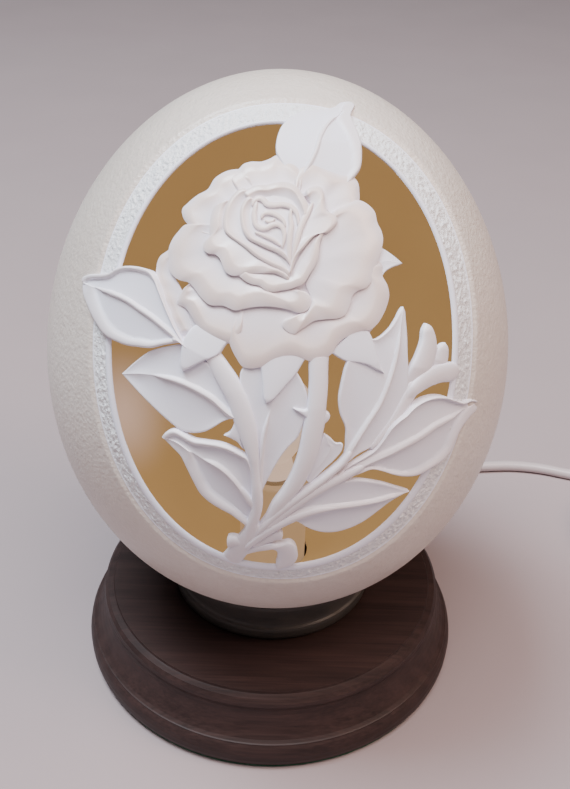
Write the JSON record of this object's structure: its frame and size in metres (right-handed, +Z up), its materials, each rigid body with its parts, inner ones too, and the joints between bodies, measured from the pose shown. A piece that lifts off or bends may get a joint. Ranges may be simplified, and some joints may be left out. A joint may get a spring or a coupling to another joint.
{
  "type": "carved ostrich egg lamp",
  "caption": "Blown ostrich egg carved in openwork with a rose, leaves and bud in an oval frame, on a dark ring and turned wooden base, with an inner lamp socket and a coiled white cord.",
  "frame": {"origin": "middle of the underside of the felt, on the surface that the lamp stands on", "axes": "+Z up along the egg's long axis; the carved front faces -Y; +X is to the right seen from the front"},
  "size_m": [0.2508, 0.1699, 0.1838],
  "materials": {
    "eggshell": "waxed ivory eggshell",
    "bronze": "dark satin",
    "mahogany": "dark glossy varnish",
    "felt": "green felt",
    "socket": "tan card sleeve",
    "nut": "bright",
    "cap": "plated",
    "glass": "frosted",
    "cord": "white flexible plastic",
    "tie": "black tie band",
    "blade": "plated brass"
  },
  "bodies": {
    "root": {"eggshell": "eggshell", "support_ring": "bronze", "wooden_base": "mahogany", "felt_pad": "felt", "lamp_socket": "socket", "socket_nut": "nut", "bulb_cap": "cap", "bulb_glass": "glass", "cord_bushing": "cord", "cord_lead": "cord", "cord_coil": "cord", "cord_tail": "cord", "coil_tie": "tie", "plug_body": "cord", "plug_blade_left": "blade", "plug_blade_right": "blade"}
  },
  "joints": []
}
